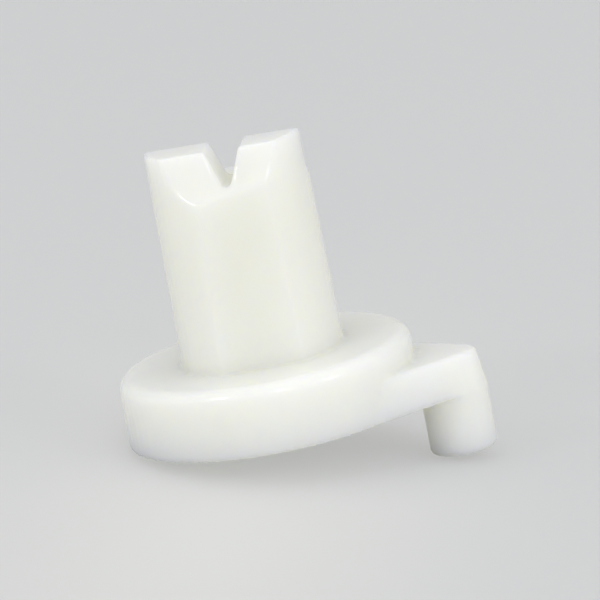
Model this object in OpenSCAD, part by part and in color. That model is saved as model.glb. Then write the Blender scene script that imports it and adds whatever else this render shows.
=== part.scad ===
// Refrigerator door closing cam: a round foot with a keyed, notched post and a side arm
// that ends in a short pin. One injection moulding in natural ivory nylon.
// Millimetres. +X runs from the post towards the pin, +Y away from the face with the flat,
// +Z is up. The part is drawn as it rests, on the far edge of the foot and the end of the pin.

/* [Foot] */
// Diameter of the round foot at its underside
foot_d = 22.0; // [20:0.1:27]
// Thickness of the foot
foot_t = 5.2; // [4.2:0.1:8]
// Draft of the foot's side, in degrees
foot_draft = 0.8; // [0.3:0.1:2]
// Radius of the rounded upper rim of the foot
rim_r = 0.9; // [0.3:0.1:1.6]

/* [Post] */
// Diameter of the post where it leaves the foot
post_d = 12.1; // [10:0.1:15]
// Height of the post above the foot
post_h = 16.3; // [12:0.1:22]
// Draft of the post's side, in degrees
post_draft = 0.8; // [0.3:0.1:1.2]
// Depth of the keying flat, from the side of the post where it leaves the foot
flat_depth = 0.81; // [0.4:0.01:1.6]
// Turn of the flat from the arm's own direction, in degrees
flat_turn = 7.0; // [0:0.5:12]

/* [Tip] */
// Thickness of the blade that stands up at the front of the tip
blade_t = 3.95; // [3:0.05:4.75]
// Radius of the scoop in the blade's front
scoop_r = 5.5; // [4:0.1:8]
// Height of the scoop's centre above the tip
scoop_rise = 0.2; // [0:0.05:0.6]
// Distance from the post's axis forward to the blade's back face
back_offset = 0.1; // [0:0.05:1]
// Depth of the back step below the tip
step_depth = 3.3; // [2.5:0.1:5]
// Radius in the corner of the back step
step_r = 0.8; // [0.3:0.1:1.5]

/* [Notch] */
// Depth of the V notch below the tip
notch_depth = 2.75; // [1.5:0.05:4]
// Angle between the walls of the notch, in degrees
notch_angle = 41; // [30:1:50]
// Radius at the root of the notch
notch_root_r = 0.4; // [0.2:0.05:0.6]
// Distance of the notch from the post's axis, towards the pin
notch_offset = 0.35; // [0:0.05:0.6]

/* [Arm] */
// Distance between the axes of the post and of the pin
arm_reach = 13.4; // [12:0.1:18]
// Thickness of the arm
arm_t = 3.0; // [2.2:0.1:4]
// Ledge that the arm's round end leaves around the pin
arm_ledge = 0.05; // [0.04:0.01:1]
// Draft of the arm's sides, in degrees
arm_draft = 8.4; // [3:0.1:10]
// Radius of the arm's rounded upper edge
arm_edge_r = 0.35; // [0.2:0.05:0.6]
// Distance by which the arm's sides meet the foot inside its rim
arm_inset = 0.1; // [0.05:0.05:0.4]

/* [Pin] */
// Diameter of the pin
pin_d = 5.04; // [3.6:0.02:6.2]
// Length of the pin below the arm
pin_h = 4.5; // [3.2:0.1:6]
// Radius of the pin's rounded end
pin_edge_r = 0.4; // [0.2:0.05:0.8]

/* [View] */
// Piece to draw

/* [Hidden] */
$fn = 96;

// Depth by which the post reaches into the foot
post_sink = 1.5;
// Depth by which the pin reaches into the arm, inside its drafted side
pin_sink = 0.2;
// Distance by which cuts run past the surface
past = 2;
// Depth of the two small flats where the part touches the surface that it rests on
rest_flat = 0.02;
// Distance by which the arm's sides stop inside its round end, so that their surfaces cross
blend = 0.03;

foot_r = foot_d / 2;
pin_r = pin_d / 2;
arm_end_r = pin_r + arm_ledge;
tip_z = foot_t + post_h;
post_top_r = post_d / 2 - post_h * tan(post_draft);
post_root_r = post_d / 2 + post_sink * tan(post_draft);
flat_offset = post_d / 2 - flat_depth;
scoop_y = -back_offset - blade_t - scoop_r;

arm_side = foot_r - arm_inset;
arm_splay = acos((arm_side - arm_end_r) / arm_reach);

// The lean at which the far edge of the foot and the rounded end of the pin share one level
rest_near = arm_reach + foot_r - (pin_r - pin_edge_r);
rest_drop = pin_h - pin_edge_r;
rest_span = sqrt(rest_near * rest_near + rest_drop * rest_drop);
rest_tilt = atan(rest_drop / rest_near) + asin(pin_edge_r / rest_span);

// Half section, straight underneath and on the axis, drafted outside and rounded above
module drafted_profile(r, h, draft, edge_r) {
    side_z = h - edge_r;
    centre_x = r - (edge_r + side_z * sin(draft)) / cos(draft);
    polygon([
        [0, 0],
        [r, 0],
        [centre_x + edge_r * cos(draft), side_z + edge_r * sin(draft)],
        [centre_x, side_z],
        [centre_x, h],
        [0, h]
    ]);
    translate([centre_x, side_z])
        circle(r = edge_r);
}

module foot() {
    rotate_extrude()
        drafted_profile(foot_r, foot_t, foot_draft, rim_r);
}

module flat_cut() {
    rotate([0, 0, flat_turn])
        translate([-post_d, -flat_offset - post_d, foot_t])
            cube([2 * post_d, post_d, post_h + past]);
}

module scoop_cut() {
    translate([-post_d, scoop_y, tip_z + scoop_rise])
        rotate([0, 90, 0])
            cylinder(r = scoop_r, h = 2 * post_d);
}

// Cuts away the back half of the tip and leaves a rounded corner at the foot of the step
module step_cut() {
    translate([post_d, -back_offset, tip_z - step_depth])
        rotate([90, 0, -90])
            linear_extrude(height = 2 * post_d)
                union() {
                    translate([-post_d, 0])
                        square([post_d - step_r, step_depth + past]);
                    translate([-post_d, step_r])
                        square([post_d, step_depth + past - step_r]);
                    translate([-step_r, step_r])
                        circle(r = step_r);
                }
}

module notch_cut() {
    wall = notch_angle / 2;
    root_x = notch_root_r * cos(wall);
    root_z = notch_root_r - notch_root_r * sin(wall);
    rise = notch_depth + past - root_z;
    mouth_x = root_x + rise * tan(wall);
    translate([notch_offset, post_d, tip_z - notch_depth])
        rotate([90, 0, 0])
            linear_extrude(height = 2 * post_d)
                union() {
                    polygon([
                        [-root_x, root_z],
                        [root_x, root_z],
                        [mouth_x, root_z + rise],
                        [-mouth_x, root_z + rise]
                    ]);
                    translate([0, notch_root_r])
                        circle(r = notch_root_r);
                }
}

module post() {
    difference() {
        translate([0, 0, foot_t - post_sink])
            cylinder(r1 = post_root_r, r2 = post_top_r, h = post_h + post_sink);
        flat_cut();
        scoop_cut();
        step_cut();
        notch_cut();
    }
}

// One side of the arm, from the foot's axis plane to the axis plane of its round end
module arm_half(side) {
    span = arm_reach * sin(arm_splay);
    rotate([0, 0, side * arm_splay])
        translate([0, (1 - side) / 2 * span, 0])
            rotate([90, 0, 0])
                linear_extrude(height = span)
                    drafted_profile(arm_side - blend, arm_t, arm_draft, arm_edge_r);
}

module arm() {
    arm_half(1);
    arm_half(-1);
    translate([arm_reach, 0, 0])
        rotate_extrude()
            drafted_profile(arm_end_r, arm_t, arm_draft, arm_edge_r);
}

module pin() {
    translate([arm_reach, 0, 0])
        rotate([180, 0, 0])
            translate([0, 0, -pin_sink])
                rotate_extrude()
                    drafted_profile(pin_r, pin_h + pin_sink, 0, pin_edge_r);
}

// Everything below the level on which the foot's edge and the pin's end stand
module rest_cut() {
    reach = foot_d + arm_reach;
    translate([-reach, -reach, -foot_r * sin(rest_tilt) + rest_flat - reach])
        cube([2 * reach, 2 * reach, reach]);
}

module cam() {
    color([0.90, 0.90, 0.85])
        difference() {
            rotate([0, -rest_tilt, 0])
                union() {
                    foot();
                    post();
                    arm();
                    pin();
                }
            rest_cut();
        }
}

cam();
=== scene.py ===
import math

import bpy
from mathutils import Matrix, Vector


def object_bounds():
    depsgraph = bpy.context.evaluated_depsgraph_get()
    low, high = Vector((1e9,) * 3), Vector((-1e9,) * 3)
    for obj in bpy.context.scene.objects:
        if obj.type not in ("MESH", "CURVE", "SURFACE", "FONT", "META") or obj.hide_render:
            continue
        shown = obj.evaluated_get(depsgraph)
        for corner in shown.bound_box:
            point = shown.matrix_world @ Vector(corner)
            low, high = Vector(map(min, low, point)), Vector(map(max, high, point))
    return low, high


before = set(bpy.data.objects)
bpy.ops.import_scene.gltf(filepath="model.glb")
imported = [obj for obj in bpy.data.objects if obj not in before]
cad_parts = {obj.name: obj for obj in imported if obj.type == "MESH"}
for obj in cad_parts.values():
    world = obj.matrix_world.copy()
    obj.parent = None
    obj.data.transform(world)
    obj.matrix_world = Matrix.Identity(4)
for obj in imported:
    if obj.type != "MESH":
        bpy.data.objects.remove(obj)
cad_box = [list(v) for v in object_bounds()]

MM = 0.001
scene = bpy.context.scene

# Camera. The part's origin is seen at this place in the square frame, in pixels from the top left.
FRAME_PX = 600.0
SEEN_AT = (276.13, 418.26)
PX_PER_MM = 13.515
CAMERA_AWAY_MM = 500.0
AZIMUTH = 5.22
ELEVATION = 14.087
ROLL = 0.652
SENSOR_MM = 36.0
NEAREST, FARTHEST = 0.01, 10.0


def toward(azimuth, elevation):
    """The direction from the part to that azimuth, from the front, and elevation, in degrees."""
    a, e = math.radians(azimuth), math.radians(elevation)
    return Vector((math.sin(a) * math.cos(e), -math.cos(a) * math.cos(e), math.sin(e)))


def camera():
    data = bpy.data.cameras.new("camera")
    cam = bpy.data.objects.new("camera", data)
    scene.collection.objects.link(cam)
    scene.camera = cam
    data.sensor_width = SENSOR_MM
    data.lens = PX_PER_MM * CAMERA_AWAY_MM * SENSOR_MM / FRAME_PX
    back = toward(AZIMUTH, ELEVATION)
    level = Vector((math.cos(math.radians(AZIMUTH)), math.sin(math.radians(AZIMUTH)), 0.0))
    upright = back.cross(level)
    r = math.radians(ROLL)
    right = level * math.cos(r) + upright * math.sin(r)
    up = upright * math.cos(r) - level * math.sin(r)
    # The origin lies off the middle of the frame by this much at its own distance.
    off_x = (SEEN_AT[0] - FRAME_PX / 2) / PX_PER_MM * MM
    off_y = (FRAME_PX / 2 - SEEN_AT[1]) / PX_PER_MM * MM
    cam.rotation_mode = "QUATERNION"
    cam.rotation_quaternion = Matrix((right, up, back)).transposed().to_quaternion()
    cam.location = back * CAMERA_AWAY_MM * MM - right * off_x - up * off_y
    data.clip_start, data.clip_end = NEAREST, FARTHEST
    data.dof.use_dof = False


camera()

# Form. The moulding's edges are all a little round.
VOXEL_MM = 0.16
SOFTEN_FACTOR = 0.5
SOFTEN_PASSES = 8


def soften(o):
    """Rounds every edge: an even skin over the solid, then smoothed."""
    skin = o.modifiers.new("even_skin", "REMESH")
    skin.mode = "VOXEL"
    skin.voxel_size = VOXEL_MM * MM
    skin.use_smooth_shade = True
    smooth = o.modifiers.new("soft_edges", "SMOOTH")
    smooth.factor = SOFTEN_FACTOR
    smooth.iterations = SOFTEN_PASSES


# Natural nylon. Noise scales are in features to the metre.
IVORY = (0.815, 0.82, 0.785)
IVORY_DEEP = (0.795, 0.80, 0.757)
NYLON_IOR = 1.53
GLOW_RADIUS = (1.0, 0.92, 0.62)
GLOW_MM = 8.0
CLOUD_SCALE, CLOUD_STRETCH, CLOUD_EDGES = 140, (1, 1, 0.6), (0.35, 0.65)
GLOSS_SCALE, GLOSS_RANGE = 500, (0.13, 0.21)
WAVE_SCALE, WAVE_STRETCH, WAVE_STRENGTH, WAVE_MM = 260, (1, 1, 0.5), 0.2, 0.05
SKIN_SCALE, SKIN_STRENGTH, SKIN_MM = 3200, 0.25, 0.01


def ivory():
    """Natural nylon: cloudy inside, with faint flow clouds and a fine, slightly wavy skin."""
    m = bpy.data.materials.new("ivory_nylon")
    m.use_nodes = True
    n, link = m.node_tree.nodes, m.node_tree.links
    b = n["Principled BSDF"]
    b.inputs["IOR"].default_value = NYLON_IOR
    b.inputs["Subsurface Weight"].default_value = 1.0
    b.inputs["Subsurface Radius"].default_value = GLOW_RADIUS
    b.inputs["Subsurface Scale"].default_value = GLOW_MM * MM
    place = n.new("ShaderNodeTexCoord").outputs["Object"]

    def noise(scale, detail, stretch=(1, 1, 1)):
        mapping = n.new("ShaderNodeMapping")
        mapping.inputs["Scale"].default_value = stretch
        link.new(place, mapping.inputs["Vector"])
        t = n.new("ShaderNodeTexNoise")
        t.inputs["Scale"].default_value = scale
        t.inputs["Detail"].default_value = detail
        link.new(mapping.outputs["Vector"], t.inputs["Vector"])
        return t.outputs["Fac"]

    def bump(height, strength, distance_mm):
        t = n.new("ShaderNodeBump")
        t.inputs["Strength"].default_value = strength
        t.inputs["Distance"].default_value = distance_mm * MM
        link.new(height, t.inputs["Height"])
        return t

    clouds = n.new("ShaderNodeValToRGB")
    deep, pale = clouds.color_ramp.elements
    deep.position, pale.position = CLOUD_EDGES
    deep.color = (*IVORY_DEEP, 1)
    pale.color = (*IVORY, 1)
    link.new(noise(CLOUD_SCALE, 3, CLOUD_STRETCH), clouds.inputs["Fac"])
    link.new(clouds.outputs["Color"], b.inputs["Base Color"])

    rough = n.new("ShaderNodeMapRange")
    rough.inputs["To Min"].default_value, rough.inputs["To Max"].default_value = GLOSS_RANGE
    link.new(noise(GLOSS_SCALE, 3), rough.inputs["Value"])
    link.new(rough.outputs["Result"], b.inputs["Roughness"])

    wavy = bump(noise(WAVE_SCALE, 1, WAVE_STRETCH), WAVE_STRENGTH, WAVE_MM)
    skin = bump(noise(SKIN_SCALE, 3), SKIN_STRENGTH, SKIN_MM)
    link.new(wavy.outputs["Normal"], skin.inputs["Normal"])
    link.new(skin.outputs["Normal"], b.inputs["Normal"])
    return m


cam_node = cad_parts["cam"]
cam_node.data.materials.clear()
cam_node.data.materials.append(ivory())
soften(cam_node)

# Pale board, with a painted pool of light in front of the part.
PAPER = (0.655, 0.655, 0.645)
PAPER_ROUGHNESS, PAPER_SHEEN = 0.8, 0.2
PAPER_GLOW_RADIUS = (1.0, 1.0, 0.8)
PAPER_GLOW_MM = 18.0
# Own tone away from the painted pool of light, and at its middle; then where the painted pool lies and how far
# it reaches, in millimetres.
TONE_FAR = (0.59, 0.598, 0.615)
PAINTED_POOL_TONE = (0.74, 0.75, 0.725)
OWN_TONE = 0.58
PAINTED_POOL_AT_MM = (-2.0, -22.0)
PAINTED_POOL_REACH_MM = (42.0, 130.0)


def paper():
    """Pale board. Seen straight on or in the gloss, part of its tone is its own, so that shadows stay light.
    That own tone is lighter in a painted pool of light in front of the part.
    """
    m = bpy.data.materials.new("paper")
    m.use_nodes = True
    n, link = m.node_tree.nodes, m.node_tree.links
    lit = n["Principled BSDF"]
    lit.inputs["Base Color"].default_value = (*PAPER, 1)
    lit.inputs["Roughness"].default_value = PAPER_ROUGHNESS
    lit.inputs["Specular IOR Level"].default_value = PAPER_SHEEN
    lit.inputs["Subsurface Weight"].default_value = 1.0
    lit.inputs["Subsurface Radius"].default_value = PAPER_GLOW_RADIUS
    lit.inputs["Subsurface Scale"].default_value = PAPER_GLOW_MM * MM

    # Painted pool of light: the own tone grows lighter towards a spot in front of the part.
    mapping = n.new("ShaderNodeMapping")
    mapping.inputs["Scale"].default_value = (*(1 / (reach * MM) for reach in PAINTED_POOL_REACH_MM), 0)
    mapping.inputs["Location"].default_value = (*(-at / r for at, r in zip(PAINTED_POOL_AT_MM, PAINTED_POOL_REACH_MM)), 0)
    link.new(n.new("ShaderNodeTexCoord").outputs["Object"], mapping.inputs["Vector"])
    painted_pool = n.new("ShaderNodeTexGradient")
    painted_pool.gradient_type = "QUADRATIC_SPHERE"
    link.new(mapping.outputs["Vector"], painted_pool.inputs["Vector"])
    tone = n.new("ShaderNodeValToRGB")
    tone.color_ramp.interpolation = "EASE"
    tone.color_ramp.elements[0].color = (*TONE_FAR, 1)
    tone.color_ramp.elements[1].color = (*PAINTED_POOL_TONE, 1)
    link.new(painted_pool.outputs["Fac"], tone.inputs["Fac"])
    own = n.new("ShaderNodeEmission")
    link.new(tone.outputs["Color"], own.inputs["Color"])

    path = n.new("ShaderNodeLightPath")
    seen = path.outputs["Is Camera Ray"]
    for name in ("Is Glossy Ray", "Is Transmission Ray"):
        either = n.new("ShaderNodeMath")
        either.operation = "MAXIMUM"
        link.new(seen, either.inputs[0])
        link.new(path.outputs[name], either.inputs[1])
        seen = either.outputs[0]
    share = n.new("ShaderNodeMath")
    share.operation = "MULTIPLY"
    share.inputs[1].default_value = OWN_TONE
    link.new(seen, share.inputs[0])
    mix = n.new("ShaderNodeMixShader")
    link.new(share.outputs[0], mix.inputs["Fac"])
    link.new(lit.outputs[0], mix.inputs[1])
    link.new(own.outputs[0], mix.inputs[2])
    link.new(mix.outputs[0], n["Material Output"].inputs["Surface"])
    return m


# The sweep, in metres.
HALF_WIDTH = 1.5
FRONT_EDGE = -1.2
CURVE_START = 0.35
CURVE_RADIUS = 0.15
CURVE_STEPS = 16
WALL_TOP = 1.2


def sweep():
    """A floor that curves up into a backdrop behind the part."""
    floor_z = cad_box[0][2]
    profile = [(FRONT_EDGE, 0.0), (CURVE_START, 0.0)]
    for i in range(1, CURVE_STEPS + 1):
        t = math.radians(90 * i / CURVE_STEPS)
        profile.append((CURVE_START + CURVE_RADIUS * math.sin(t), CURVE_RADIUS * (1 - math.cos(t))))
    profile.append((CURVE_START + CURVE_RADIUS, WALL_TOP))
    verts = [(x, y, floor_z + h) for y, h in profile for x in (-HALF_WIDTH, HALF_WIDTH)]
    faces = [(2 * i, 2 * i + 1, 2 * i + 3, 2 * i + 2) for i in range(len(profile) - 1)]
    me = bpy.data.meshes.new("sweep")
    me.from_pydata(verts, [], faces)
    me.polygons.foreach_set("use_smooth", [True] * len(faces))
    me.materials.append(paper())
    o = bpy.data.objects.new("sweep", me)
    scene.collection.objects.link(o)


sweep()

# Softboxes: name, azimuth and elevation in degrees, distance and sides in metres, power in watts.
AIM = (0, 0, 0.008)
SOFTBOXES = (
    ("left_box", -43, 30, 0.55, (0.07, 0.05), 0.27),
    ("front_box", 11, 32, 0.60, (0.08, 0.05), 0.24),
    ("right_box", 55, 30, 0.55, (0.07, 0.05), 0.21),
    ("top_box", 20, 80, 0.60, (0.5, 0.5), 0.15),
)
ROOM_LIGHT = (0.92, 0.925, 0.925)
ROOM_STRENGTH = 1.04


def softbox(name, azimuth, elevation, away, sides, power):
    lamp = bpy.data.lights.new(name, "AREA")
    lamp.shape = "RECTANGLE"
    lamp.size, lamp.size_y = sides
    lamp.energy = power
    o = bpy.data.objects.new(name, lamp)
    o.location = toward(azimuth, elevation) * away
    o.rotation_mode = "QUATERNION"
    o.rotation_quaternion = (o.location - Vector(AIM)).to_track_quat("Z", "Y")
    scene.collection.objects.link(o)


for box in SOFTBOXES:
    softbox(*box)

world = bpy.data.worlds.new("world")
scene.world = world
world.use_nodes = True
room = world.node_tree.nodes["Background"]
room.inputs["Color"].default_value = (*ROOM_LIGHT, 1)
room.inputs["Strength"].default_value = ROOM_STRENGTH

scene.view_settings.view_transform = "Standard"
